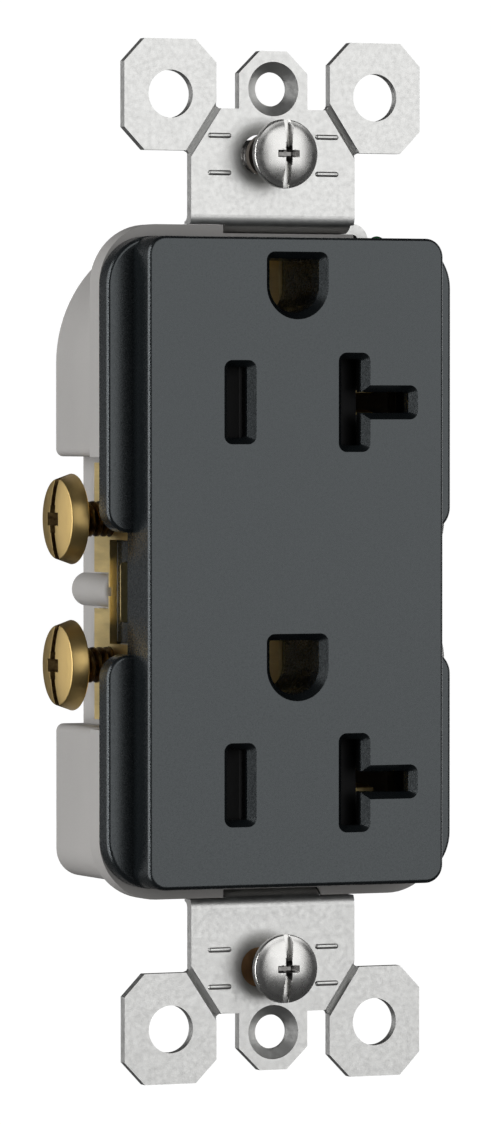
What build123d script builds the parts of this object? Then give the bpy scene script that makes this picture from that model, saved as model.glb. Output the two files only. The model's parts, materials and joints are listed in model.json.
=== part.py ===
from build123d import *
import math
import os

# Duplex wall outlet, 20 A, decorator style, built as separate solids. Millimetres.
# X is to the right, -Y is the plug side and +Z is up, with the ground holes above the blade slots.
# Y = 0 is the rear face of the strap ears; the origin lies midway between the two box screws.

# ---- driving dimensions ----
SHEET = 1.1                 # strap sheet thickness
BEND_IN = 0.7               # inner radius of a strap bend
BEND_OUT = BEND_IN + SHEET

FACE_Y = -7.3               # front face of the cover
LEDGE_Y = -3.13             # front of the cover's flange
COVER_BACK_Y = -0.85        # cover meets base here
RIM_BACK_Y = 1.7
BACK_Y = 15.4               # rear of the base and of the strap
FACE_HX, FACE_HZ, FACE_R = 16.4, 33.1, 1.9
FLANGE_HX, FLANGE_HZ, FLANGE_R = 19.2, 33.2, 5.1
COVER_WALL = 2.0
CAVITY_HX, CAVITY_HZ = 14.9, 31.7
EDGE_R = 0.4
NOTCH_X, NOTCH_HZ, NOTCH_R = 16.1, 6.2, 2.4

OUTLET_PITCH = 38.89
SLOT_Z = 16.3               # centre of the upper blade slots
SLOT_X = 6.35
GROUND_RISE = 11.87         # ground hole centre above the blade slots
OUTLETS = {"upper": SLOT_Z, "lower": SLOT_Z - OUTLET_PITCH}
MIDDLE_Z = SLOT_Z - OUTLET_PITCH / 2

HOT_W, HOT_H = 2.2, 7.2     # blade slots and ground hole, inside their bevels
NEUTRAL_W, NEUTRAL_H = 2.2, 8.8
LEG_END_X, LEG_H = 12.8, 2.14
GROUND_R, GROUND_FLAT = 2.76, 2.77
WELL_WALL, WELL_BACK_Y = 0.5, 2.8    # tube behind each ground hole
BEVEL_W, BEVEL_D, BEVEL_R = 0.68, 0.89, 0.22

RIM_HX, RIM_HZ, RIM_R = 19.2, 34.45, 6.2
BLOCK_HX, BLOCK_BOTTOM, BLOCK_TOP = 17.4, -32.9, 34.4
BLOCK_TOP_R, BLOCK_BOTTOM_R = 14.0, 2.9
RECESS_X, RECESS_HZ = 14.35, 13.87   # side recess that holds the terminals
POCKET_X0, POCKET_X1 = 4.4, 13.3
POCKET_Z0, POCKET_Z1 = -27.7, 21.9
POCKET_FLOOR = 12.2
CENTRE_HX, CENTRE_Z0, CENTRE_Z1, CENTRE_FLOOR = 3.5, -16.6, 32.0, 13.05
BLOCK_CORNER_R = 0.8        # block corners beside the recess
POST_R, POST_X, POST_Y, POST_RISE = 1.77, 13.88, 6.5, 0.09
SCREW_BORE_R = 2.4          # hole in the base wall for a terminal screw
WIRE_X, WIRE_STEP, WIRE_R = 10.2, 2.6, 1.5   # back-wire holes, above and below each screw
CASE_CORE_R, CASE_COUNTERBORE_Y = 1.4, 13.4
RIVET_R, RIVET_HEAD_R = 1.2, 2.1
CHANNEL_HX, CHANNEL_Z = 5.5, 33.6
BAY_X, BAY_Z, BAY_BACK = 9.1, 23.4, 10.4   # open corner that holds the ground terminal

WEB_HX, WEB_Z = 5.3, 33.7   # strap web: half-width, face towards the base
WEB_RIGHT_X = 8.8
STRAP_BACK_Y = BACK_Y - SHEET
FLAT_END_Z, SHOULDER_Z, NECK_HX = 35.5, 34.55, 9.15
BOX_SCREW_Z, PLATE_SCREW_Z, PLATE_HOLE_R = 41.67, 48.42, 1.75
SCORE_DEPTH, SCORE_BACK_DEPTH = 0.42, 0.2
EAR_X, EAR_Z, EAR_HOLE_R = 11.415, 47.74, 2.45
TONGUE_Y0, TONGUE_Y1 = 1.9, 9.0
GROUND_PLATE_X = 12.0       # outer face of the strap's ground tongue

BRASS = 0.8                 # contact strip thickness
BLADE_GAP = 1.5             # between the leaves that grip a blade
LEAF_HZ = 4.0
LEAF_FRONT, CLIP_BACK = 3.0, 12.0
PLATE_X = 15.2              # outer face of a terminal plate
BAR_Y0, BAR_Y1, BAR_HZ = 6.1, 10.3, 13.25
LOBE_Y0, LOBE_Z0, LOBE_Z1 = 1.2, 5.35, 12.6  # lobes round the screws, from the middle
LINK_STEP, LINK_HZ = 12.45, 0.75             # links between a contact strip and its terminal plate
LINK_Y0, LINK_Y1 = 9.0, 9.8
SKIRT_X0, SKIRT_Y1, SKIRT_HZ = 13.4, 5.95, 5.2      # cover's side skirt, flush with the recess floor
FIN_X, FIN_Y0, FIN_HZ, FIN_R = 15.13, 3.26, 3.05, 0.35
GAP = 0.1                   # clearance of a part that passes through a window
SCREW_STEP = 7.5            # terminal screws stand this far above and below the middle
SCREW_Y = 6.3
THREAD_PITCH = 0.794        # 32 threads per inch
SHANK_R, THREAD_HOLE_R = 1.83, 1.88
STUB_R, STUB_HOLE_R, STUB_FLANGE_R, STUB_FLANGE = 1.4, 1.45, 1.9, 0.3
TERMINAL_HEAD_X = 19.2      # underside of a backed-out head
CLAMP_X = 13.25             # outer face of a wire clamp plate, open
GROUND_SCREW_Z, GROUND_SCREW_Y = 29.0, 5.4
GROUND_HEAD_X, GROUND_TIP_X = 14.4, 10.75
BOX_HEAD_Y = -3.7           # underside of a backed-out mounting screw head
BOX_SHANK_R, BOX_SHANK_LENGTH = 1.75, 18.2
TERMINAL_HEAD = (4.65, 4.15, 1.75, 0.55)     # foot radius, crown radius, rim, dome
GROUND_HEAD = (4.65, 4.25, 1.2, 0.5)
BOX_HEAD = (3.55, 3.5, 0.75, 0.75)
DRIVE_SLOT = 0.9
RETAINER_R = 2.25
CASE_SCREWS = [(-7.4, 27.5), (7.4, 27.5), (-12.5, -30.35), (12.5, -30.35)]
RIVET_Z = [18.0, 2.0]
SHUTTER_Y0, SHUTTER_Y1 = -5.2, -3.0
SHUTTER_X0, SHUTTER_X1 = 4.6, 8.15
SPRING_R, SPRING_WIRE, SPRING_PITCH = 0.9, 0.3, 1.0
TRAY_HZ = 5.6
CASE_BOSS_R, CASE_HEAD_R = 2.0, 2.0


# ---- helpers ----
def block(x0, x1, y0, y1, z0, z1):
    """A box given by its limits."""
    size = (abs(x1 - x0), abs(y1 - y0), abs(z1 - z0))
    return Pos((x0 + x1) / 2, (y0 + y1) / 2, (z0 + z1) / 2) * Box(*size)


def slab(sketch, y0, y1):
    """A sketch drawn in X and Z, extruded from y0 back to y1."""
    return extrude(Plane.XZ.offset(-y1) * sketch, y1 - y0)


def rod_y(x, z, r, y0, y1):
    return slab(Pos(x, z) * Circle(r), y0, y1)


def rod_x(y, z, r, x0, x1):
    return Pos((x0 + x1) / 2, y, z) * Rot(0, 90, 0) * Cylinder(r, abs(x1 - x0))


def polygon(points):
    return make_face(Polyline(*points, close=True))


def flip_z(shape):
    return mirror(shape, about=Plane.XY)


def flip_x(shape):
    return mirror(shape, about=Plane.YZ)


def terminal_levels():
    """Heights of the two terminal screws on each side."""
    return {"upper": MIDDLE_Z + SCREW_STEP, "lower": MIDDLE_Z - SCREW_STEP}


# ---- the outlet's openings, inside their bevels ----
def hot_slot(z):
    return Pos(-SLOT_X, z) * RectangleRounded(HOT_W, HOT_H, BEVEL_R)


def neutral_slot(z):
    """The upright and the level leg of a T-shaped slot."""
    upright = Pos(SLOT_X, z) * RectangleRounded(NEUTRAL_W, NEUTRAL_H, BEVEL_R)
    leg_x0 = SLOT_X - NEUTRAL_W / 4
    leg = Pos((leg_x0 + LEG_END_X) / 2, z) * RectangleRounded(LEG_END_X - leg_x0, LEG_H, BEVEL_R)
    return upright, leg


def ground_hole(z):
    """A round-bottomed hole with a flat top."""
    lower = Pos(0, z) * Circle(GROUND_R)
    upper = Pos(0, z + GROUND_FLAT / 2) * Rectangle(2 * GROUND_R, GROUND_FLAT)
    hole = lower + upper
    return fillet(hole.vertices().group_by(Axis.Y)[-1], BEVEL_R)


def socket_openings():
    """Every slot and hole of the face, as tools that cut it with a bevelled mouth."""
    taper = -math.degrees(math.atan2(BEVEL_W, BEVEL_D))
    bevel_y = FACE_Y + BEVEL_D
    tools = []
    for z in OUTLETS.values():
        for sketch in (hot_slot(z), *neutral_slot(z), ground_hole(z + GROUND_RISE)):
            tools.append(slab(sketch, bevel_y, WELL_BACK_Y + 1))
            tools.append(extrude(Plane.XZ.offset(-bevel_y) * sketch, BEVEL_D, taper=taper))
    return tools


# ---- moulded pieces ----
def fin_window(x0, x1):
    """The room that a break-off fin needs through a side wall."""
    half = FIN_HZ + GAP
    return block(x0, x1, FIN_Y0 - GAP, FIN_Y0 + BRASS + GAP, MIDDLE_Z - half, MIDDLE_Z + half)


def face_cover():
    flange = slab(RectangleRounded(2 * FLANGE_HX, 2 * FLANGE_HZ, FLANGE_R), LEDGE_Y, COVER_BACK_Y)
    for side in (1, -1):
        flange -= block(side * NOTCH_X, side * 20, LEDGE_Y - 1, 0, MIDDLE_Z - NOTCH_HZ, MIDDLE_Z + NOTCH_HZ)
    corners = flange.edges().filter_by(Axis.Y).filter_by(
        lambda e: abs(abs(e.center().X) - FLANGE_HX) < 0.01 and abs(e.center().Z - MIDDLE_Z) < NOTCH_HZ + 1
    )
    flange = fillet(corners, NOTCH_R)
    flange = fillet(flange.faces().sort_by(Axis.Y)[0].edges(), EDGE_R)
    face = slab(RectangleRounded(2 * FACE_HX, 2 * FACE_HZ, FACE_R), FACE_Y, COVER_BACK_Y - 0.5)
    face = fillet(face.faces().sort_by(Axis.Y)[0].edges(), EDGE_R)
    cover = flange + face
    for side in (1, -1):
        notch = (side * NOTCH_X, side * 20, LEDGE_Y, 0)
        cover -= block(*notch, MIDDLE_Z - NOTCH_HZ, MIDDLE_Z + NOTCH_HZ)
    cavity = RectangleRounded(2 * CAVITY_HX, 2 * CAVITY_HZ, 2.0)
    cover -= slab(cavity, FACE_Y + COVER_WALL, COVER_BACK_Y + 1)
    for side in (1, -1):
        cover += block(side * SKIRT_X0, side * RECESS_X, FACE_Y + COVER_WALL - 0.1, SKIRT_Y1,
                       MIDDLE_Z - SKIRT_HZ, MIDDLE_Z + SKIRT_HZ)
        cover -= fin_window(side * (SKIRT_X0 - 1), side * (RECESS_X + 0.5))
    for z in OUTLETS.values():
        cover += slab(offset(ground_hole(z + GROUND_RISE), WELL_WALL), FACE_Y + 1, WELL_BACK_Y)
    for x, z in CASE_SCREWS:
        boss = rod_y(x, z, CASE_BOSS_R, FACE_Y + COVER_WALL - 0.1, COVER_BACK_Y)
        cover += boss & slab(cavity, FACE_Y, COVER_BACK_Y)
    for x, z in CASE_SCREWS:
        cover -= rod_y(x, z, 1.42, FACE_Y + COVER_WALL + 0.8, COVER_BACK_Y + 1)
    for tool in socket_openings():
        cover -= tool
    return cover


def base_outline():
    """The block behind the rim, narrowed by a round-cornered recess on each side."""
    block_height = BLOCK_TOP - BLOCK_BOTTOM
    outline = Pos(0, (BLOCK_TOP + BLOCK_BOTTOM) / 2) * Rectangle(2 * BLOCK_HX, block_height)
    outline = fillet(outline.vertices().group_by(Axis.Y)[-1], BLOCK_TOP_R)
    outline = fillet(outline.vertices().group_by(Axis.Y)[0], BLOCK_BOTTOM_R)
    for side in (1, -1):
        outline -= Pos(side * BLOCK_HX, MIDDLE_Z) * Rectangle(2 * (BLOCK_HX - RECESS_X), 2 * RECESS_HZ)
    corners = [
        v for v in outline.vertices()
        if abs(abs(v.X) - BLOCK_HX) < 0.01 and abs(abs(v.Y - MIDDLE_Z) - RECESS_HZ) < 0.01
    ]
    return fillet(corners, BLOCK_CORNER_R)


def base_side_cuts(side):
    """The recess through the rim, contact pocket, wire holes and screw holes of one side."""
    recess_z0, recess_z1 = MIDDLE_Z - RECESS_HZ, MIDDLE_Z + RECESS_HZ
    cuts = [block(side * RECESS_X, side * 21, COVER_BACK_Y - 1, RIM_BACK_Y, recess_z0, recess_z1)]
    skirt_room = (side * (POCKET_X1 - 1), side * 21, COVER_BACK_Y - 1, SKIRT_Y1 + GAP)
    cuts.append(block(*skirt_room, MIDDLE_Z - SKIRT_HZ - GAP, MIDDLE_Z + SKIRT_HZ + GAP))
    pocket = (side * POCKET_X0, side * POCKET_X1, COVER_BACK_Y - 1, POCKET_FLOOR, POCKET_Z0, POCKET_Z1)
    cuts.append(block(*pocket))
    for z in terminal_levels().values():
        cuts.append(rod_x(SCREW_Y, z, SCREW_BORE_R, side * (POCKET_X1 - 1), side * (RECESS_X + 1)))
        for wire in (WIRE_STEP, -WIRE_STEP):
            cuts.append(rod_y(side * WIRE_X, z + wire, WIRE_R, POCKET_FLOOR - 1, BACK_Y + 1))
    for way in (1, -1):
        z = MIDDLE_Z + way * LINK_STEP
        cuts.append(block(side * (POCKET_X1 - 1), side * (RECESS_X + 1), LINK_Y0 - GAP, LINK_Y1 + GAP,
                          z - LINK_HZ - GAP, z + LINK_HZ + GAP))
    return cuts


def base():
    rim = slab(RectangleRounded(2 * RIM_HX, 2 * RIM_HZ, RIM_R), COVER_BACK_Y, RIM_BACK_Y)
    body = rim + slab(base_outline(), RIM_BACK_Y, BACK_Y)
    for side in (1, -1):
        for cut in base_side_cuts(side):
            body -= cut
        post = rod_y(side * POST_X, MIDDLE_Z + POST_RISE, POST_R, POST_Y, BACK_Y)
        post = fillet(post.faces().sort_by(Axis.Y)[0].edges(), 0.5)
        body += post & block(side * POCKET_X1, side * 20, 0, BACK_Y, -10, 10)
    body -= block(-CENTRE_HX, CENTRE_HX, COVER_BACK_Y - 1, CENTRE_FLOOR, CENTRE_Z0, CENTRE_Z1)
    for z in OUTLETS.values():
        body -= rod_y(0, z + GROUND_RISE, GROUND_R, CENTRE_FLOOR - 1, BACK_Y)
    for z in RIVET_Z:
        body -= rod_y(0, z, RIVET_R + 0.05, CENTRE_FLOOR - 1, BACK_Y)
    for x, z in CASE_SCREWS:
        body -= rod_y(x, z, CASE_CORE_R + GAP, COVER_BACK_Y - 1, BACK_Y)
        body -= rod_y(x, z, CASE_HEAD_R + GAP, CASE_COUNTERBORE_Y, BACK_Y + 1)
    body -= block(-CHANNEL_HX, CHANNEL_HX, STRAP_BACK_Y - 0.05, BACK_Y + 1, -40, 40)
    body -= block(-CHANNEL_HX, WEB_RIGHT_X + 0.3, COVER_BACK_Y - 1, BAY_BACK, CHANNEL_Z, 40)
    body -= block(-CHANNEL_HX, CHANNEL_HX, COVER_BACK_Y - 1, BACK_Y + 1, CHANNEL_Z, 40)
    body -= block(-CHANNEL_HX, CHANNEL_HX, COVER_BACK_Y - 1, BACK_Y + 1, -40, -CHANNEL_Z)
    for z0, z1 in ((32.5, 40), (-40, -32.5)):
        body -= block(-CHANNEL_HX, CHANNEL_HX, 13.1, BACK_Y + 1, z0, z1)
    body -= block(BAY_X, 20, COVER_BACK_Y - 1, BAY_BACK, BAY_Z, 40)
    body -= block(WEB_RIGHT_X, 20, COVER_BACK_Y - 1, BAY_BACK, CHANNEL_Z, 40)
    return body


# ---- strap ----
def ear_outline():
    points = [
        (6.35, 46.8), (9.55, 42.0), (14.3, 42.0), (16.52, 44.3),
        (16.52, 51.0), (14.3, 53.35), (8.65, 53.35), (6.35, 51.0),
    ]
    return polygon(points)


def strap_end_outline():
    """One end of the strap seen from the front: neck, plate-screw tab and ears, without holes."""
    half = [(NECK_HX, FLAT_END_Z), (NECK_HX, 41.7), (9.55, 42.0), (6.35, 46.8), (6.0, 46.35)]
    half += [(3.82, 46.35), (3.82, 50.0), (1.5, 52.3)]
    mirrored = [(-x, z) for x, z in reversed(half)]
    return polygon(half + mirrored) + ear_outline() + mirror(ear_outline(), about=Plane.YZ)


def score_groove(side, y, depth):
    """A V-shaped groove in the face at y, along the line that an ear snaps off at."""
    start, end = (6.05, 46.75), (9.35, 41.8)
    centre = ((start[0] + end[0]) / 2, (start[1] + end[1]) / 2)
    angle = math.degrees(math.atan2(end[1] - start[1], end[0] - start[0]))
    flank = depth * math.sqrt(2)
    prism = Rot(0, -side * angle, 0) * Rot(45, 0, 0) * Box(7.0, flank, flank)
    return Pos(side * centre[0], y, centre[1]) * prism


def quarter_bend(x0, x1, y, z, y_side, z_side):
    """A quarter of a bent strip about an axis along X through (y, z), on the given sides of it."""
    ring = rod_x(y, z, BEND_OUT, x0, x1) - rod_x(y, z, BEND_IN, x0 - 1, x1 + 1)
    return ring & block(x0, x1, y, y + 3 * y_side, z, z + 3 * z_side)


def strap_end():
    """The upper end of the strap, with its holes, bend and web."""
    end = slab(strap_end_outline(), -SHEET, 0)
    for side in (1, -1):
        end -= rod_y(side * EAR_X, EAR_Z, EAR_HOLE_R, -SHEET - 1, 1)
        end -= score_groove(side, -SHEET, SCORE_DEPTH)
        end -= score_groove(side, 0, SCORE_BACK_DEPTH)
    end -= rod_y(0, PLATE_SCREW_Z, PLATE_HOLE_R, -SHEET - 1, 1)
    sink = Pos(0, -SHEET + 0.35, PLATE_SCREW_Z) * Rot(90, 0, 0) * Cone(PLATE_HOLE_R, 2.8, 0.7)
    end -= sink
    end -= slab(Pos(0, BOX_SCREW_Z) * SlotOverall(7.2, 4.1), -SHEET - 1, 1)
    end += quarter_bend(-NECK_HX, NECK_HX, BEND_IN, FLAT_END_Z, -1, -1)
    for x0, x1 in ((-NECK_HX - 1, -WEB_HX), (WEB_HX, NECK_HX + 1)):
        end -= block(x0, x1, -SHEET - 1, 3, FLAT_END_Z - 3, SHOULDER_Z)
    rear_z = WEB_Z - BEND_IN
    end += block(-WEB_HX, WEB_HX, BEND_IN, STRAP_BACK_Y - BEND_IN, WEB_Z, WEB_Z + SHEET)
    end += quarter_bend(-WEB_HX, WEB_HX, STRAP_BACK_Y - BEND_IN, rear_z, 1, 1)
    return end


def ground_tongue():
    """The arm that reaches from the upper web to the ground screw."""
    corner = GROUND_PLATE_X - BEND_OUT
    top = WEB_Z + SHEET
    arm = block(WEB_HX - 0.5, corner, TONGUE_Y0, TONGUE_Y1, WEB_Z, top)
    bend = Pos(corner, (TONGUE_Y0 + TONGUE_Y1) / 2, top - BEND_OUT) * Rot(90, 0, 0)
    width = TONGUE_Y1 - TONGUE_Y0
    ring = bend * Cylinder(BEND_OUT, width) - bend * Cylinder(BEND_IN, width + 1)
    arm += ring & block(corner, corner + 3, TONGUE_Y0, TONGUE_Y1, top - BEND_OUT, top)
    plate_x0 = GROUND_PLATE_X - SHEET
    arm += block(plate_x0, GROUND_PLATE_X, TONGUE_Y0, TONGUE_Y1, GROUND_SCREW_Z - 4.6, top - BEND_OUT)
    return arm - rod_x(GROUND_SCREW_Y, GROUND_SCREW_Z, THREAD_HOLE_R, 9, 15)


def mounting_strap():
    upper = strap_end()
    rear_z = WEB_Z - BEND_IN
    strap = upper + flip_z(upper)
    strap += block(-WEB_HX, WEB_HX, STRAP_BACK_Y, BACK_Y, -rear_z, rear_z)
    strap += quarter_bend(WEB_HX - 0.5, WEB_RIGHT_X, BEND_IN, FLAT_END_Z, -1, -1)
    strap += block(WEB_HX - 0.5, WEB_RIGHT_X, BEND_IN, TONGUE_Y1, WEB_Z, WEB_Z + SHEET)
    strap += ground_tongue()
    for z in RIVET_Z:
        strap -= rod_y(0, z, RIVET_R + 0.05, STRAP_BACK_Y - 1, BACK_Y + 1)
    return strap


def self_grounding_clip():
    """A spring leaf behind the lower end that bears on the mounting screw."""
    leaf = slab(Pos(0, -BOX_SCREW_Z) * RectangleRounded(11.4, 6.2, 0.8), 0.02, 0.42)
    leaf -= rod_y(0, -BOX_SCREW_Z, 1.95, -1, 1)
    for side in (1, -1):
        leaf += block(side * 5.0, side * 5.7, 0.02, 1.9, -BOX_SCREW_Z - 1.6, -BOX_SCREW_Z + 1.6)
    return leaf


# ---- contacts ----
def clip_outline(gap, front, back):
    """A U-shaped blade grip, open towards the plug, drawn across and along the blade."""
    inner, outer, flare = gap / 2, gap / 2 + BRASS, 1.6
    spread = 0.3
    half = [(inner, back - BRASS), (inner, front), (inner + spread, front - flare)]
    half += [(outer + spread, front - flare), (outer, front), (outer, back)]
    mirrored = [(-u, v) for u, v in reversed(half)]
    return polygon(half + mirrored)


def blade_clip(x, z, half_height):
    """A grip for an upright blade at x."""
    outline = clip_outline(BLADE_GAP, LEAF_FRONT, CLIP_BACK)
    return Pos(x, 0, z - half_height) * extrude(outline, 2 * half_height)


def leg_clip(z):
    """A grip for a level blade, beyond the upright one, on the right side."""
    x0, x1 = 8.6, 12.4
    outline = Plane(origin=(x0, 0, z), x_dir=(0, 0, -1), z_dir=(1, 0, 0)) * clip_outline(
        BLADE_GAP, LEAF_FRONT, CLIP_BACK
    )
    link = block(SLOT_X, x0 + 0.1, CLIP_BACK - BRASS, CLIP_BACK, z - BLADE_GAP / 2, z + BLADE_GAP / 2)
    return extrude(outline, x1 - x0) + link


def terminal_plate():
    """The plate that the two screws of the right side thread into, scored across its middle."""
    x0 = PLATE_X - BRASS
    bar = block(x0, PLATE_X, BAR_Y0, BAR_Y1, MIDDLE_Z - BAR_HZ, MIDDLE_Z + BAR_HZ)
    for way in (1, -1):
        z0, z1 = MIDDLE_Z + way * LOBE_Z0, MIDDLE_Z + way * LOBE_Z1
        bar += block(x0, PLATE_X, LOBE_Y0, BAR_Y1, z0, z1)
    for z in terminal_levels().values():
        bar -= rod_x(SCREW_Y, z, THREAD_HOLE_R, PLATE_X - 2, PLATE_X + 2)
    post_room = POST_R + GAP
    post_z = MIDDLE_Z + POST_RISE
    bar -= block(x0 - 1, PLATE_X + 1, POST_Y - 0.05, BAR_Y1 + 1, post_z - post_room, post_z + post_room)
    return bar - block(PLATE_X - 0.25, PLATE_X + 1, BAR_Y0 - 1, BAR_Y1, MIDDLE_Z - 0.45, MIDDLE_Z + 0.45)


def break_off_fin(strip_x):
    """A fin that joins the two outlets of one side and ends outside the cover's skirt."""
    rear = FIN_Y0 + BRASS
    tip = [(FIN_X, FIN_Y0), (FIN_X, FIN_Y0 + 0.2), (FIN_X - 0.6, rear)]
    taper = polygon([(strip_x, FIN_Y0), *tip, (strip_x, rear)])
    outline = Pos((strip_x + FIN_X) / 2, MIDDLE_Z) * RectangleRounded(FIN_X - strip_x, 2 * FIN_HZ, FIN_R)
    return Pos(0, 0, MIDDLE_Z - FIN_HZ) * extrude(taper, 2 * FIN_HZ) & slab(outline, FIN_Y0, rear)


def side_contact():
    """Everything that the blade contacts of both sides share, drawn on the right."""
    strip_x = SLOT_X + BLADE_GAP / 2
    z0, z1 = OUTLETS["lower"] - LEAF_HZ, SLOT_Z + LEAF_HZ
    contact = block(strip_x, strip_x + BRASS, LEAF_FRONT, BAR_Y1, z0, z1)
    contact += terminal_plate() + break_off_fin(strip_x)
    for z in OUTLETS.values():
        contact += blade_clip(SLOT_X, z, LEAF_HZ)
    for way in (1, -1):
        z = MIDDLE_Z + way * LINK_STEP
        contact += block(strip_x + 0.2, PLATE_X - 0.2, LINK_Y0, LINK_Y1, z - LINK_HZ, z + LINK_HZ)
    return contact


def hot_contact():
    return flip_x(side_contact())


def neutral_contact():
    contact = side_contact()
    for z in OUTLETS.values():
        contact -= block(SLOT_X + 0.5, 9, 0, CLIP_BACK - BRASS, z - 0.85, z + 0.85)
        contact += leg_clip(z)
    return contact


def ground_contact():
    strip = block(-3.2, 3.2, 12.2, 13.0, CENTRE_Z0 + 0.4, CENTRE_Z1 - 0.4)
    for z in OUTLETS.values():
        pin_z = z + GROUND_RISE
        for side in (1, -1):
            strip += block(side * 2.4, side * 3.2, LEAF_FRONT, 12.4, pin_z - 3.0, pin_z + 3.0)
        strip -= rod_y(0, pin_z, 2.7, 10, 14)
    for z in RIVET_Z:
        strip -= rod_y(0, z, RIVET_R + 0.02, 10, 14)
    return strip


# ---- fasteners ----
def grooved_shank(radius, length):
    """A shank along -Z from the origin, with a groove at every thread pitch."""
    depth = 0.45 * THREAD_PITCH
    points = [(0, 0), (radius, 0)]
    turns = int((length - 1.0) / THREAD_PITCH)
    for turn in range(turns):
        z = -0.5 - turn * THREAD_PITCH
        points += [(radius, z), (radius - depth, z - THREAD_PITCH / 2)]
    end = -0.5 - turns * THREAD_PITCH
    points += [(radius, end), (radius, -length + 0.4), (radius - 0.4, -length), (0, -length)]
    return revolve(Plane.XZ * polygon(points), Axis.Z)


def screw(head_form, shank_r, length, slot_depth):
    """A screw whose tapered head rises to +Z from z = 0 and ends in a dome, with one slot along Y."""
    head_r, crown_r, rim, dome = head_form
    sphere_r = (crown_r ** 2 + dome ** 2) / (2 * dome)
    top = rim + dome
    ball = Pos(0, 0, top - sphere_r) * Sphere(sphere_r)
    core = Pos(0, 0, rim / 2) * Cone(head_r, crown_r, rim)
    crown = ball & Pos(0, 0, rim + dome / 2) * Cylinder(crown_r, dome)
    head = core + crown
    body = head + grooved_shank(shank_r, length)
    return body - Pos(0, 0, top) * Box(DRIVE_SLOT, 4 * head_r, 2 * slot_depth)


def terminal_screw_right(z):
    """A terminal screw backed out, with the stub that carries its wire clamp plate."""
    length = TERMINAL_HEAD_X - CLAMP_X - 0.05
    one = screw(TERMINAL_HEAD, SHANK_R, length, 0.9)
    stub_end = -length - BRASS - 0.1 - STUB_FLANGE
    stub_length = -stub_end - length + STUB_FLANGE
    one += Pos(0, 0, stub_end + stub_length / 2) * Cylinder(STUB_R, stub_length)
    one += Pos(0, 0, stub_end + STUB_FLANGE / 2) * Cylinder(STUB_FLANGE_R, STUB_FLANGE)
    return Pos(TERMINAL_HEAD_X, SCREW_Y, z) * Rot(0, 90, 0) * Rot(0, 0, 90) * one


def clamp_plate_right(z):
    """A plate that the screw tip pushes against the wires."""
    plate = block(CLAMP_X - BRASS, CLAMP_X, 2.6, 10.0, z - 3.8, z + 3.8)
    return plate - rod_x(SCREW_Y, z, STUB_HOLE_R, CLAMP_X - 3, CLAMP_X + 3)


def ground_screw():
    one = screw(GROUND_HEAD, SHANK_R, GROUND_HEAD_X - GROUND_TIP_X, 0.7)
    turned = Rot(0, 90, 0) * Rot(0, 0, 90) * one
    return Pos(GROUND_HEAD_X, GROUND_SCREW_Y, GROUND_SCREW_Z) * turned


def ground_clamp_washer():
    x1 = GROUND_HEAD_X - 0.05
    size = 3.9
    plate = block(x1 - BRASS, x1, GROUND_SCREW_Y - size, GROUND_SCREW_Y + size,
                  GROUND_SCREW_Z - size, GROUND_SCREW_Z + size)
    plate = chamfer(plate.edges().filter_by(Axis.X), 1.0)
    return plate - rod_x(GROUND_SCREW_Y, GROUND_SCREW_Z, SHANK_R + 0.07, x1 - 3, x1 + 3)


def mounting_screw(z):
    one = screw(BOX_HEAD, BOX_SHANK_R, BOX_SHANK_LENGTH, 0.7)
    return Pos(0, BOX_HEAD_Y, z) * Rot(90, 0, 0) * one


def screw_retainer(z, y0):
    """A fibre washer that grips the shank behind the strap."""
    washer = rod_y(0, z, RETAINER_R, y0, y0 + 0.8)
    return washer - rod_y(0, z, BOX_SHANK_R + 0.05, y0 - 1, y0 + 2)


def rivets():
    """Two rivets that fasten the ground contact to the strap."""
    group = []
    for z in RIVET_Z:
        one = rod_y(0, z, RIVET_R, 11.8, BACK_Y + 0.3)
        one += rod_y(0, z, RIVET_HEAD_R, 11.5, 12.2) + rod_y(0, z, RIVET_HEAD_R, BACK_Y, BACK_Y + 0.5)
        group.append(one)
    return Compound(children=group)


def case_screws():
    """Four screws that close the base against the cover."""
    group = []
    for x, z in CASE_SCREWS:
        seat = CASE_COUNTERBORE_Y + 0.1
        one = rod_y(x, z, CASE_CORE_R, COVER_BACK_Y - 2.6, seat + 0.1) + rod_y(x, z, CASE_HEAD_R, seat, 15.0)
        cross = block(x - 1.6, x + 1.6, 14.2, 16, z - 0.35, z + 0.35)
        cross += block(x - 0.35, x + 0.35, 14.2, 16, z - 1.6, z + 1.6)
        group.append(one - cross)
    return Compound(children=group)


# ---- shutters ----
def shutter_right(z):
    """A wedge that closes a blade slot and slides inwards when a blade lands on its slope."""
    outline = polygon([
        (SHUTTER_X0, SHUTTER_Y1), (SHUTTER_X1, SHUTTER_Y1), (SHUTTER_X1, SHUTTER_Y1 - 0.6),
        (SHUTTER_X0 + 1.0, SHUTTER_Y0), (SHUTTER_X0, SHUTTER_Y0),
    ])
    wedge = Pos(0, 0, z - 4.6) * extrude(outline, 9.2)
    pin = rod_x((SHUTTER_Y0 + SHUTTER_Y1) / 2, z, 0.6, SHUTTER_X0 - 1.0, SHUTTER_X0 + 0.5)
    return wedge + pin


def shutter_spring(z):
    """A coil between the two shutters of an outlet."""
    height = 2 * SHUTTER_X0 - SPRING_WIRE - 0.1
    path = Helix(SPRING_PITCH, height, SPRING_R)
    section = Plane(origin=path @ 0, z_dir=path % 0) * Circle(SPRING_WIRE / 2)
    coil = sweep(section, path=path)
    return Pos(-height / 2, (SHUTTER_Y0 + SHUTTER_Y1) / 2, z) * Rot(0, 90, 0) * coil


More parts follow.
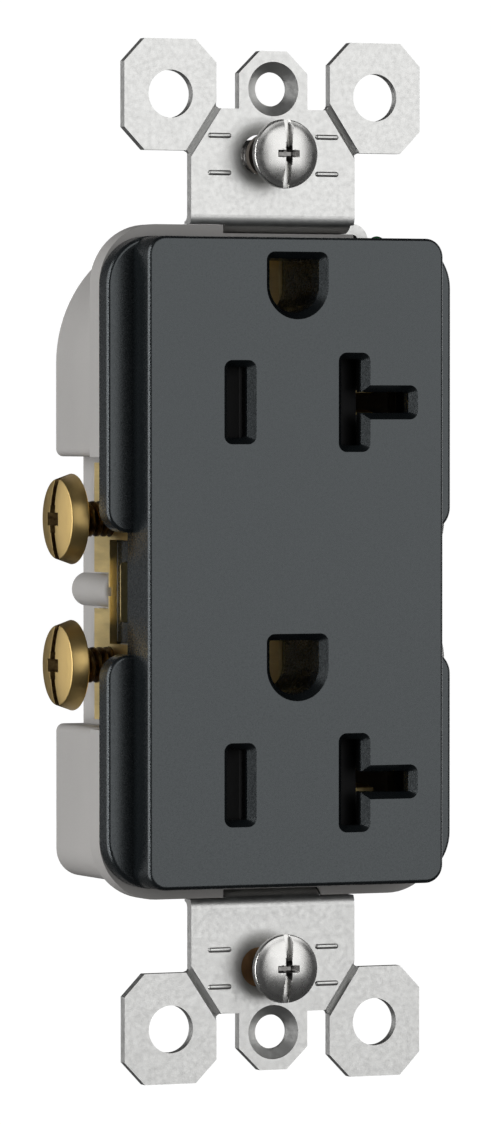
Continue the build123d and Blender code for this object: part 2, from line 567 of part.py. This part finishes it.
def shutter_tray(z):
    """The slotted channel that the shutters of one outlet slide in."""
    tray = block(-10.2, 14.2, SHUTTER_Y1 + 0.1, COVER_BACK_Y - 0.05, z - TRAY_HZ, z + TRAY_HZ)
    for way in (1, -1):
        tray += block(-10.2, 14.2, SHUTTER_Y0 - 0.05, SHUTTER_Y1 + 0.2, z + way * 4.75, z + way * TRAY_HZ)
    hot = Pos(-SLOT_X, z) * Rectangle(HOT_W + 0.4, HOT_H + 0.4)
    upright = Pos(SLOT_X, z) * Rectangle(NEUTRAL_W + 0.4, NEUTRAL_H + 0.4)
    leg = Pos((SLOT_X + LEG_END_X + 0.2) / 2, z) * Rectangle(LEG_END_X + 0.2 - SLOT_X, LEG_H + 0.4)
    for window in (hot, upright + leg):
        tray -= slab(window, SHUTTER_Y0 - 1, COVER_BACK_Y + 1)
    return tray


def all_nodes():
    nodes = {
        "face_cover": face_cover(),
        "base": base(),
        "mounting_strap": mounting_strap(),
        "self_grounding_clip": self_grounding_clip(),
        "hot_contact": hot_contact(),
        "neutral_contact": neutral_contact(),
        "ground_contact": ground_contact(),
        "ground_rivets": rivets(),
        "case_screws": case_screws(),
        "ground_screw": ground_screw(),
        "ground_clamp_washer": ground_clamp_washer(),
        "mounting_screw_upper": mounting_screw(BOX_SCREW_Z),
        "mounting_screw_lower": mounting_screw(-BOX_SCREW_Z),
        "screw_retainer_upper": screw_retainer(BOX_SCREW_Z, 0.05),
        "screw_retainer_lower": screw_retainer(-BOX_SCREW_Z, 0.5),
    }
    for level, z in terminal_levels().items():
        nodes["neutral_screw_" + level] = terminal_screw_right(z)
        nodes["hot_screw_" + level] = flip_x(terminal_screw_right(z))
        nodes["neutral_wire_clamp_" + level] = clamp_plate_right(z)
        nodes["hot_wire_clamp_" + level] = flip_x(clamp_plate_right(z))
    for level, z in OUTLETS.items():
        nodes["neutral_shutter_" + level] = shutter_right(z)
        nodes["hot_shutter_" + level] = flip_x(shutter_right(z))
        nodes["shutter_spring_" + level] = shutter_spring(z)
        nodes["shutter_tray_" + level] = shutter_tray(z)
    return nodes


os.makedirs("parts", exist_ok=True)
for name, shape in all_nodes().items():
    export_step(shape, "parts/" + name + ".step")
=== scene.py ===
"""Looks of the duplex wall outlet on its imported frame: camera, light, materials, screws, ribs, springs."""

import json
import math

import bmesh
import bpy
from mathutils import Matrix, Vector


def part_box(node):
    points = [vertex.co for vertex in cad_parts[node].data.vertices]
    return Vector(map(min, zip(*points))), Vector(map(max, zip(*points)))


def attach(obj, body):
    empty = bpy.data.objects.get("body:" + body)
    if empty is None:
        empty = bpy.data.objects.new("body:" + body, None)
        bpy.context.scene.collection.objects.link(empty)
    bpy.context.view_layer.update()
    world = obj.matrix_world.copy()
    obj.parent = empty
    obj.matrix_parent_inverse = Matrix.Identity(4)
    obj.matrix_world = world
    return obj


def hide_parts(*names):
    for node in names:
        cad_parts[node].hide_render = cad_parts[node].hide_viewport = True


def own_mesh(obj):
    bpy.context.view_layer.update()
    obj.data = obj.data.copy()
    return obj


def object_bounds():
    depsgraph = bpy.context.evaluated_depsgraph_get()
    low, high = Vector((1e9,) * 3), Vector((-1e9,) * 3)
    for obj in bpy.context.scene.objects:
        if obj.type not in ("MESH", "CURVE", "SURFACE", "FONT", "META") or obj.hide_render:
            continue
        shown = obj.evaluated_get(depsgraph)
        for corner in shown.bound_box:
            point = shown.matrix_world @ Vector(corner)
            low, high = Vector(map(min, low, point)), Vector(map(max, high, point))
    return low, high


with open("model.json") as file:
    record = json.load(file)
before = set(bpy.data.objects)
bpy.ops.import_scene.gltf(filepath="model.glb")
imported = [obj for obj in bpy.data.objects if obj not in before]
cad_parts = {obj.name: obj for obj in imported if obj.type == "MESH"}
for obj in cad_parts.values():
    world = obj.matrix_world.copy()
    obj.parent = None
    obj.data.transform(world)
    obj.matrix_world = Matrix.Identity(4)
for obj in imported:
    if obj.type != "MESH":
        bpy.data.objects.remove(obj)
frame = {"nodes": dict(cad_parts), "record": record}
CAD_BOX = [list(corner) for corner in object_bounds()]
NODES = frame["nodes"]
SLOT_OF = {part["node"]: part["material_slot"] for part in frame["record"]["subparts"]}
BODY_OF = {}
for body, members in frame["record"]["behaviour"]["bodies"].items():
    BODY_OF.update((node, body) for node in members)
MM = 0.001

# Area lights: name, azimuth and elevation in degrees, distance and size in metres, power in watts
LIGHTS = (
    ("front_softbox", 21, 13, 1.2, (1.25, 1.2), 7.0),
    ("edge_strip", -66, 2, 1.3, (0.12, 1.6), 8.0),
    ("left_softbox", -102, 3, 0.95, (0.45, 1.4), 6.8),
    ("rear_left", -140, 5, 1.2, (0.35, 1.2), 1.6),
    ("right_fill", 112, 5, 1.3, (0.5, 1.0), 3.0),
)
WORLD_STRENGTH = 0.05

# Threads, in millimetres
THREAD_PITCH = 0.794
THREAD_DEPTH = 0.36

# Screw places, in millimetres: X under a terminal head, and from a head's top to its underside
TERMINAL_HEAD_X = 19.2
MOUNTING_HEAD = 1.45
GROUND_HEAD = 1.7

# Pressed ribs beside each mounting screw, in millimetres: length, width and height, then their places
RIB_SIZE = (2.6, 0.55, 0.22)
RIB_X = 6.0
RIB_ROWS = (("outer", 1.9), ("inner", -1.9))
STRAP_FRONT_Y = -1.1
BOX_SCREW_Z = 41.67


# ---------------------------------------------------------------- camera, floor and light
def aim(thing, target):
    """Points a camera or light at a place, with its top upwards."""
    thing.rotation_euler = (target - thing.location).to_track_quat("-Z", "Y").to_euler()


def add_camera():
    azimuth, elevation, distance = math.radians(-23.41), math.radians(1.168), 706.0 * MM
    target = Vector((-3.118, -1.1, -0.106)) * MM
    data = bpy.data.cameras.new("camera")
    data.lens, data.sensor_width = 220.44, 36.0
    data.clip_start, data.clip_end = 0.01, 20.0
    camera = bpy.data.objects.new("camera", data)
    away = Vector((
        math.sin(azimuth) * math.cos(elevation),
        -math.cos(azimuth) * math.cos(elevation),
        math.sin(elevation),
    ))
    camera.location = target + distance * away
    aim(camera, target)
    bpy.context.scene.collection.objects.link(camera)
    bpy.context.scene.camera = camera


def add_area(name, place, size, power):
    """A white rectangular light that faces the middle of the object."""
    data = bpy.data.lights.new(name, "AREA")
    data.shape = "RECTANGLE"
    data.size, data.size_y = size
    data.energy = power
    light = bpy.data.objects.new(name, data)
    light.location = place
    aim(light, Vector((0, 0, 0)))
    bpy.context.scene.collection.objects.link(light)


def around(azimuth, elevation, distance):
    """A place in metres, seen from the middle of the object; azimuth 0 is in front, 90 to the right."""
    turn, rise = math.radians(azimuth), math.radians(elevation)
    return Vector((
        distance * math.sin(turn) * math.cos(rise),
        -distance * math.cos(turn) * math.cos(rise),
        distance * math.sin(rise),
    ))


def add_lights():
    world = bpy.data.worlds.new("studio")
    world.use_nodes = True
    background = world.node_tree.nodes["Background"]
    background.inputs["Color"].default_value = (1.0, 1.0, 1.0, 1)
    background.inputs["Strength"].default_value = WORLD_STRENGTH
    bpy.context.scene.world = world
    for name, azimuth, elevation, distance, size, power in LIGHTS:
        add_area(name, around(azimuth, elevation, distance), size, power)
    bpy.context.scene.view_settings.view_transform = "Standard"


def add_floor():
    """A white floor that curves up into a round wall; only the camera sees it. Sizes are in metres."""
    radius, cove, height, steps, sides = 2.4, 0.8, 2.6, 12, 64
    gap_mm = 0.05
    level = CAD_BOX[0][2] - gap_mm * MM
    profile = [(radius - cove, 0.0)]
    for i in range(1, steps + 1):
        angle = i / steps * math.pi / 2
        profile.append((radius - cove + cove * math.sin(angle), cove - cove * math.cos(angle)))
    profile.append((radius, height))
    verts = [(0.0, 0.0, level)]
    for i in range(sides):
        angle = 2 * math.pi * i / sides
        verts += [(r * math.cos(angle), r * math.sin(angle), z + level) for r, z in profile]
    rows = len(profile)
    faces = []
    for i in range(sides):
        here, after = 1 + i * rows, 1 + (i + 1) % sides * rows
        faces.append((0, here, after))
        faces += [(here + k, here + k + 1, after + k + 1, after + k) for k in range(rows - 1)]
    mesh = bpy.data.meshes.new("floor")
    mesh.from_pydata(verts, [], faces)
    for face in mesh.polygons:
        face.use_smooth = True
    floor = bpy.data.objects.new("floor", mesh)
    floor.visible_diffuse = False
    floor.visible_glossy = False
    floor.visible_shadow = False
    bpy.context.scene.collection.objects.link(floor)
    pale = bpy.data.materials.new("floor_white")
    pale.use_nodes = True
    shader = pale.node_tree.nodes["Principled BSDF"]
    shader.inputs["Base Color"].default_value = (0.1, 0.1, 0.1, 1)
    shader.inputs["Roughness"].default_value = 1.0
    shader.inputs["Specular IOR Level"].default_value = 0.0
    shader.inputs["Emission Color"].default_value = (1, 1, 1, 1)
    shader.inputs["Emission Strength"].default_value = 1.0
    mesh.materials.append(pale)


# ---------------------------------------------------------------- materials
class Paint:
    """A Principled material with a few short ways to add procedural detail."""

    def __init__(self, name, color, roughness, metallic=0.0, specular=0.5):
        self.material = bpy.data.materials.new(name)
        self.material.use_nodes = True
        self.tree = self.material.node_tree
        self.shader = self.tree.nodes["Principled BSDF"]
        self.shader.inputs["Base Color"].default_value = (*color, 1)
        self.shader.inputs["Roughness"].default_value = roughness
        self.shader.inputs["Metallic"].default_value = metallic
        self.shader.inputs["Specular IOR Level"].default_value = specular
        self.place = self.tree.nodes.new("ShaderNodeTexCoord").outputs["Object"]
        self.height = None

    def node(self, kind, **settings):
        made = self.tree.nodes.new(kind)
        for key, value in settings.items():
            setattr(made, key, value)
        return made

    def stretched(self, scale):
        """The object's coordinates, scaled per axis."""
        mapping = self.node("ShaderNodeMapping")
        mapping.inputs["Scale"].default_value = scale
        self.tree.links.new(self.place, mapping.inputs["Vector"])
        return mapping.outputs["Vector"]

    def noise(self, size_mm, detail=3.0, stretch=(1, 1, 1)):
        """Noise whose features are about size_mm across."""
        texture = self.node("ShaderNodeTexNoise")
        texture.inputs["Scale"].default_value = 1.0 / (size_mm * MM)
        texture.inputs["Detail"].default_value = detail
        self.tree.links.new(self.stretched(stretch), texture.inputs["Vector"])
        return texture.outputs["Fac"]

    def spread(self, factor, low, high, start=0.3, end=0.7):
        """Maps a 0 to 1 factor to a range of numbers."""
        remap = self.node("ShaderNodeMapRange")
        remap.inputs["From Min"].default_value = start
        remap.inputs["From Max"].default_value = end
        remap.inputs["To Min"].default_value = low
        remap.inputs["To Max"].default_value = high
        self.tree.links.new(factor, remap.inputs["Value"])
        return remap.outputs["Result"]

    def mottle(self, factor, dark, light, start=0.3, end=0.7):
        """Colours the surface between two tones."""
        ramp = self.node("ShaderNodeValToRGB")
        ramp.color_ramp.elements[0].position = start
        ramp.color_ramp.elements[0].color = (*dark, 1)
        ramp.color_ramp.elements[1].position = end
        ramp.color_ramp.elements[1].color = (*light, 1)
        self.tree.links.new(factor, ramp.inputs["Fac"])
        self.tree.links.new(ramp.outputs["Color"], self.shader.inputs["Base Color"])

    def gloss(self, factor, low, high):
        self.tree.links.new(self.spread(factor, low, high), self.shader.inputs["Roughness"])

    def relief(self, factor, depth_mm):
        """Adds a bump layer over the ones before it."""
        bump = self.node("ShaderNodeBump")
        bump.inputs["Distance"].default_value = depth_mm * MM
        bump.inputs["Strength"].default_value = 1.0
        self.tree.links.new(factor, bump.inputs["Height"])
        if self.height:
            self.tree.links.new(self.height, bump.inputs["Normal"])
        self.height = bump.outputs["Normal"]
        self.tree.links.new(self.height, self.shader.inputs["Normal"])


def toned(color, share):
    return tuple(channel * share for channel in color)


def moulded(
    name, color, roughness, grain_mm=0.16, depth_mm=0.004, shift=0.12, specular=0.5, tint=(1, 1, 1)
):
    """Moulded plastic: fine spark-erosion grain, faint flow marks and slightly uneven gloss."""
    paint = Paint(name, color, roughness, specular=specular)
    paint.shader.inputs["Specular Tint"].default_value = (*tint, 1)
    flow = paint.noise(9.0, 2.0, (1.0, 1.0, 0.5))
    paint.mottle(flow, toned(color, 1 - shift), toned(color, 1 + shift))
    paint.gloss(paint.noise(0.25, 3.0), roughness - 0.03, roughness + 0.04)
    paint.relief(paint.noise(grain_mm, 2.0), depth_mm)
    return paint.material


def rolled_metal(name, color, roughness, stretch=(1, 1, 0.12), shift=0.08, grain_mm=0.3):
    """Sheet or turned metal: fine grain along the rolling direction, with soft stains."""
    paint = Paint(name, color, roughness, metallic=1.0)
    paint.mottle(paint.noise(grain_mm, 4.0, stretch), toned(color, 1 - shift), toned(color, 1 + shift))
    paint.gloss(paint.noise(0.5, 5.0, stretch), roughness - 0.05, roughness + 0.06)
    paint.relief(paint.noise(0.14, 3.0, stretch), 0.004)
    paint.relief(paint.noise(3.0, 1.0), 0.004)
    return paint.material


def turned_screw(name, color, roughness, shade_color):
    """Turned metal, darkened with painted shade where the mesh says so: in the thread and the drive."""
    paint = Paint(name, color, roughness, metallic=1.0)
    # The mesh's face mask darkens the thread and the drive towards the last colour: painted shade, made
    # patchy by the noise below.
    shade_mask = paint.node("ShaderNodeAttribute", attribute_name="painted_shade").outputs["Fac"]
    patchy = paint.node("ShaderNodeMath", operation="MULTIPLY")
    paint.tree.links.new(shade_mask, patchy.inputs[0])
    paint.tree.links.new(paint.spread(paint.noise(0.6, 4.0), 0.75, 1.0), patchy.inputs[1])
    paint.mottle(patchy.outputs["Value"], color, shade_color, 0.05, 0.95)
    paint.gloss(paint.noise(0.7, 3.0), roughness - 0.02, roughness + 0.03)
    paint.relief(paint.noise(0.1, 3.0), 0.0012)
    return paint.material


def all_materials():
    brass, bright_brass = (0.56, 0.40, 0.16), (0.93, 0.73, 0.34)
    zinc, galvanized = (0.62, 0.615, 0.60), (0.60, 0.60, 0.59)
    return {
        "cover_plastic": moulded(
            "cover_plastic", (0.005, 0.0065, 0.0075), 0.26, 0.1, 0.0045, 0.12, 0.8, (0.89, 0.965, 1.0)
        ),
        "base_plastic": moulded("base_plastic", (0.345, 0.335, 0.325), 0.62, 0.2, 0.006, 0.04),
        "shutter_plastic": moulded("shutter_plastic", (0.006, 0.006, 0.0065), 0.5),
        "tray_plastic": moulded("tray_plastic", (0.004, 0.004, 0.0045), 0.6),
        "fibre": moulded("fibre", (0.10, 0.085, 0.07), 0.8, 0.35, 0.02, 0.2),
        "strap_steel": rolled_metal("strap_steel", galvanized, 0.36, (1, 1, 1), 0.05, 0.12),
        # For each screw metal, the last colour is the painted shade in its thread and drive.
        "zinc_steel": turned_screw("zinc_steel", zinc, 0.27, (0.12, 0.115, 0.11)),
        "case_steel": rolled_metal("case_steel", toned(zinc, 0.9), 0.35),
        "spring_steel": rolled_metal("spring_steel", toned(zinc, 0.95), 0.3),
        "spring_bronze": rolled_metal("spring_bronze", (0.55, 0.32, 0.16), 0.35),
        "contact_brass": rolled_metal("contact_brass", toned(bright_brass, 0.85), 0.36, (1, 0.15, 1), 0.05),
        "clamp_brass": rolled_metal("clamp_brass", brass, 0.4),
        "terminal_brass": turned_screw("terminal_brass", brass, 0.38, (0.055, 0.028, 0.012)),
        "terminal_silver": turned_screw("terminal_silver", zinc, 0.36, (0.16, 0.15, 0.13)),
        "green_screw": turned_screw("green_screw", (0.02, 0.22, 0.07), 0.33, (0.01, 0.06, 0.02)),
    }


# ---------------------------------------------------------------- detailed screws
def lathe(profile, steps=96):
    """A closed solid of revolution about Z from (radius, height) points that start and end on the axis."""
    solid = bmesh.new()
    rings = []
    for radius, height in profile[1:-1]:
        ring = []
        for i in range(steps):
            angle = 2 * math.pi * i / steps
            ring.append(solid.verts.new((radius * math.cos(angle), radius * math.sin(angle), height)))
        rings.append(ring)
    ends = [solid.verts.new((0, 0, profile[0][1])), solid.verts.new((0, 0, profile[-1][1]))]
    for i in range(steps):
        j = (i + 1) % steps
        solid.faces.new((ends[0], rings[0][j], rings[0][i]))
        solid.faces.new((ends[1], rings[-1][i], rings[-1][j]))
        for low, high in zip(rings, rings[1:]):
            solid.faces.new((low[i], low[j], high[j], high[i]))
    bmesh.ops.recalc_face_normals(solid, faces=solid.faces)
    return solid


def head_profile(foot_r, crown_r, rim, dome, edge=0.16):
    """A tapered head with a rounded edge and a domed top."""
    points = [(0, 0), (foot_r - edge, 0)]
    quarter = [i / 4 * math.pi / 2 for i in range(5)]
    for angle in quarter:
        points.append((foot_r - edge + edge * math.sin(angle), edge - edge * math.cos(angle)))
    for angle in quarter:
        points.append((crown_r - edge + edge * math.cos(angle), rim - edge + edge * math.sin(angle)))
    steps = 10
    for i in range(1, steps):
        radius = (crown_r - edge) * (1 - i / steps)
        points.append((radius, rim + dome * (1 - (radius / crown_r) ** 2)))
    points.append((0, rim + dome))
    return points


def thread_mesh(radius, length, top):
    """A shank with a helical thread, from z = top down to -length."""
    sides, rows_per_pitch = 40, 10
    crest_width, run_out = 1.6, 1.2 * THREAD_PITCH
    tip_taper, tip_length = 0.25, 0.4
    rows = int((length + top) / THREAD_PITCH * rows_per_pitch)
    solid = bmesh.new()
    rings = []
    for row in range(rows + 1):
        z = top - (length + top) * row / rows
        ring = []
        for i in range(sides):
            turn = i / sides
            phase = (z / THREAD_PITCH - turn) % 1.0
            crest = min(1.0, crest_width * (1 - abs(2 * phase - 1)))
            fade = min(1.0, max(0.0, (z + length) / run_out))
            r = radius - THREAD_DEPTH + THREAD_DEPTH * crest * fade
            r -= tip_taper * max(0.0, 1 - (z + length) / tip_length)
            angle = 2 * math.pi * turn
            ring.append(solid.verts.new((r * math.cos(angle), r * math.sin(angle), z)))
        rings.append(ring)
    ends = [solid.verts.new((0, 0, top)), solid.verts.new((0, 0, -length))]
    for i in range(sides):
        j = (i + 1) % sides
        solid.faces.new((ends[0], rings[0][i], rings[0][j]))
        solid.faces.new((ends[1], rings[-1][j], rings[-1][i]))
        for high, low in zip(rings, rings[1:]):
            solid.faces.new((high[i], low[i], low[j], high[j]))
    bmesh.ops.recalc_face_normals(solid, faces=solid.faces)
    return solid


def to_object(solid, name):
    mesh = bpy.data.meshes.new(name)
    solid.to_mesh(mesh)
    solid.free()
    made = bpy.data.objects.new(name, mesh)
    bpy.context.scene.collection.objects.link(made)
    return made


def drive_cutter(slot, cross, top, reach):
    """The slot, flaring towards its ends, and the cross recess; both narrow with depth."""
    solid = bmesh.new()

    def wedge(outline, z_top, z_low, grow, shrink):
        """A prism that is wider at its top than at its foot; grow and shrink are per axis."""
        upper = [solid.verts.new((x * grow[0], y * grow[1], z_top)) for x, y in outline]
        lower = [solid.verts.new((x * shrink[0], y * shrink[1], z_low)) for x, y in outline]
        solid.faces.new(upper)
        solid.faces.new(reversed(lower))
        for i in range(len(upper)):
            j = (i + 1) % len(upper)
            solid.faces.new((upper[j], upper[i], lower[i], lower[j]))

    middle_w, end_w, depth, foot = slot
    m, e = middle_w / 2, end_w / 2
    outline = [(-e, -reach), (e, -reach), (m, 0), (e, reach), (-e, reach), (-m, 0)]
    over = 0.6  # how far the cutter stands above the head
    wedge(outline, top + over, top - depth, (1 + (1 - foot) * over / depth, 1), (foot, 1))
    arm, width, depth, foot = cross
    a, b = arm, width / 2
    outline = [(a, -b), (a, b), (b, b), (b, a), (-b, a), (-b, b)]
    outline += [(-a, b), (-a, -b), (-b, -b), (-b, -a), (b, -a), (b, -b)]
    over = 0.2
    grow = 1 + (1 - foot) * over / depth
    wedge(outline, top + over, top - depth, (grow, grow), (foot, foot))
    bmesh.ops.recalc_face_normals(solid, faces=solid.faces)
    return solid


def carve(target, cutter):
    """Takes the cutter out of the target, edges softened, and leaves a plain mesh."""
    cut = target.modifiers.new("cut", "BOOLEAN")
    cut.operation, cut.solver, cut.object = "DIFFERENCE", "EXACT", cutter
    cut.use_self = True
    soften = target.modifiers.new("soften", "BEVEL")
    soften.width, soften.segments = 0.05, 2
    soften.limit_method, soften.angle_limit = "ANGLE", math.radians(35)
    bpy.context.view_layer.update()
    evaluated = target.evaluated_get(bpy.context.evaluated_depsgraph_get())
    mesh = bpy.data.meshes.new_from_object(evaluated)
    bpy.data.objects.remove(target)
    bpy.data.objects.remove(cutter)
    return mesh


def join_meshes(name, meshes):
    solid = bmesh.new()
    for mesh in meshes:
        solid.from_mesh(mesh)
    joined = bpy.data.meshes.new(name)
    solid.to_mesh(joined)
    solid.free()
    return joined


def add_painted_shade(mesh, head, slot, cross, slot_shade):
    """Marks the thread and the drive, where painted shade darkens the screw, on the mesh's faces."""
    _, crown_r, rim, dome = head
    painted_shade = mesh.attributes.new("painted_shade", "FLOAT", "FACE")
    for i, face in enumerate(mesh.polygons):
        x, y, z = face.center
        skin = rim + dome * (1 - min(1.0, (x * x + y * y) / crown_r ** 2))
        in_slot = abs(x) < slot[1] / 2 and z < skin - 0.1 and abs(y) < crown_r
        in_cross = max(abs(x), abs(y)) < cross[0] + 0.25 and z < skin - 0.12
        # Painted shade: 1 on the thread, 0.95 in the cross recess, and the slot's share in the slot.
        if z < -0.01:
            painted_shade.data[i].value = 1.0
        elif z > 0.02 and in_cross:
            painted_shade.data[i].value = 0.95
        elif z > 0.02 and in_slot:
            painted_shade.data[i].value = slot_shade


def screw_design(name, head, shank_r, length, slot, cross, slot_shade, stub=None):
    """A whole screw in millimetres: head towards +Z from z = 0, thread below it."""
    foot_r, crown_r, rim, dome = head
    blank = to_object(lathe(head_profile(foot_r, crown_r, rim, dome)), name + "_blank")
    top = rim + dome
    pieces = [carve(blank, to_object(drive_cutter(slot, cross, top, 2 * foot_r), name + "_cutter"))]
    shank = to_object(thread_mesh(shank_r, length, 0.3), name + "_shank")
    pieces.append(shank.data)
    bpy.data.objects.remove(shank)
    if stub:
        stub_r, flange_r, stub_length, flange_t = stub
        end = -length - stub_length
        outline = [(0, -length + 0.3), (stub_r, -length + 0.3), (stub_r, end + flange_t)]
        outline += [(flange_r, end + flange_t), (flange_r, end + 0.05), (flange_r - 0.05, end), (0, end)]
        tip = to_object(lathe(outline, 48), name + "_tip")
        pieces.append(tip.data)
        bpy.data.objects.remove(tip)
    mesh = join_meshes(name, pieces)
    for face in mesh.polygons:
        face.use_smooth = True
    mesh.set_sharp_from_angle(angle=math.radians(32))
    add_painted_shade(mesh, head, slot, cross, slot_shade)
    return mesh


def place_screw(design, node, turn, origin, materials):
    """Stands a screw in for its CAD node: turn takes its +Z to where the head faces."""
    mesh = design.copy()
    mesh.name = node + "_detail"
    mesh.transform(Matrix.Translation(origin) @ turn @ Matrix.Scale(MM, 4))
    mesh.materials.clear()
    mesh.materials.append(materials[SLOT_OF[node]])
    piece = bpy.data.objects.new(node + "_detail", mesh)
    bpy.context.scene.collection.objects.link(piece)
    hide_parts(node)
    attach(piece, BODY_OF[node])


def add_screws(materials):
    """Every screw that shows. In millimetres: head is foot radius, crown radius, rim height and dome height;
    slot is middle width, end width and depth, and cross is arm, width and depth, each with its foot's share;
    stub is radius, flange radius, length and flange thickness."""
    # Each screw's slot share sets how much painted shade darkens its slot.
    terminal = screw_design(
        "terminal_screw",
        head=(4.65, 4.15, 1.75, 0.55),
        shank_r=1.83,
        length=5.9,
        slot=(1.0, 1.25, 0.95, 0.85),
        cross=(1.45, 1.35, 1.5, 0.7),
        slot_shade=1.0,
        stub=(1.4, 1.9, 1.2, 0.3),
    )
    ground = screw_design(
        "ground_screw_design",
        head=(4.65, 4.25, 1.2, 0.5),
        shank_r=1.83,
        length=3.65,
        slot=(0.85, 1.0, 0.8, 0.8),
        cross=(1.3, 0.9, 1.2, 0.45),
        slot_shade=0.5,
    )
    mounting = screw_design(
        "mounting_screw",
        head=(3.55, 3.5, 0.75, 0.7),
        shank_r=1.75,
        length=18.2,
        slot=(0.45, 2.25, 1.0, 0.4),
        cross=(1.25, 0.75, 1.2, 0.5),
        slot_shade=0.0,
    )
    to_right = Matrix.Rotation(math.radians(90), 4, "Y") @ Matrix.Rotation(math.radians(90), 4, "Z")
    to_left = Matrix.Rotation(math.radians(-90), 4, "Y") @ Matrix.Rotation(math.radians(90), 4, "Z")
    to_front = Matrix.Rotation(math.radians(90), 4, "X")
    for level in ("upper", "lower"):
        for side, turn in (("hot", to_left), ("neutral", to_right)):
            node = f"{side}_screw_{level}"
            low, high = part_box(node)
            middle = (low + high) / 2
            head_x = TERMINAL_HEAD_X * MM if side == "neutral" else -TERMINAL_HEAD_X * MM
            place_screw(terminal, node, turn, (head_x, middle.y, middle.z), materials)
        node = "mounting_screw_" + level
        low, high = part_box(node)
        under_head = low.y + MOUNTING_HEAD * MM
        place_screw(mounting, node, to_front, (0, under_head, (low.z + high.z) / 2), materials)
    low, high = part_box("ground_screw")
    under_head = high.x - GROUND_HEAD * MM
    middle = (low + high) / 2
    place_screw(ground, "ground_screw", to_right, (under_head, middle.y, middle.z), materials)


# ---------------------------------------------------------------- stamped ribs on the strap
def rib_mesh(length, width, height):
    """A pressed rib along X: a bar with rounded ends, half sunk at y = 0, with its crest towards -Y."""
    solid = bmesh.new()
    bmesh.ops.create_uvsphere(solid, u_segments=24, v_segments=12, radius=1.0)
    straight = (length - width) / 2
    for vert in solid.verts:
        x = vert.co.x * width / 2 + math.copysign(straight, vert.co.x)
        vert.co = Vector((x, vert.co.y * height, vert.co.z * width / 2))
    return solid


def add_ribs(materials):
    """Plain stiffening ribs beside each mounting screw."""
    front = STRAP_FRONT_Y * MM
    for level, sign in (("upper", 1), ("lower", -1)):
        for side_name, side in (("left", -1), ("right", 1)):
            for row_name, row in RIB_ROWS:
                name = f"strap_rib_{level}_{side_name}_{row_name}"
                piece = to_object(rib_mesh(*RIB_SIZE), name)
                place = Vector((side * RIB_X * MM, front, sign * (BOX_SCREW_Z + row) * MM))
                piece.data.transform(Matrix.Translation(place) @ Matrix.Scale(MM, 4))
                for face in piece.data.polygons:
                    face.use_smooth = True
                piece.data.materials.append(materials["strap_steel"])
                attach(piece, "root")


# ---------------------------------------------------------------- shutter springs
def add_springs():
    """Shutter springs, each a copy of its CAD mesh that stands in for the hidden CAD node."""
    for level in ("upper", "lower"):
        node = "shutter_spring_" + level
        mesh = NODES[node].data.copy()
        mesh.transform(NODES[node].matrix_world)
        piece = bpy.data.objects.new(node + "_detail", mesh)
        bpy.context.scene.collection.objects.link(piece)
        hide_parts(node)
        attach(piece, "root")
        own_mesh(piece)


# ---------------------------------------------------------------- finish on the CAD nodes
def finish_nodes(materials):
    """Gives every CAD node its material, and smooth shading with its real edges kept sharp."""
    for node, thing in NODES.items():
        thing.data.materials.clear()
        thing.data.materials.append(materials[SLOT_OF[node]])
        for face in thing.data.polygons:
            face.use_smooth = True
        thing.data.set_sharp_from_angle(angle=math.radians(28))


add_camera()
add_floor()
add_lights()
MATERIALS = all_materials()
finish_nodes(MATERIALS)
add_screws(MATERIALS)
add_ribs(MATERIALS)
add_springs()
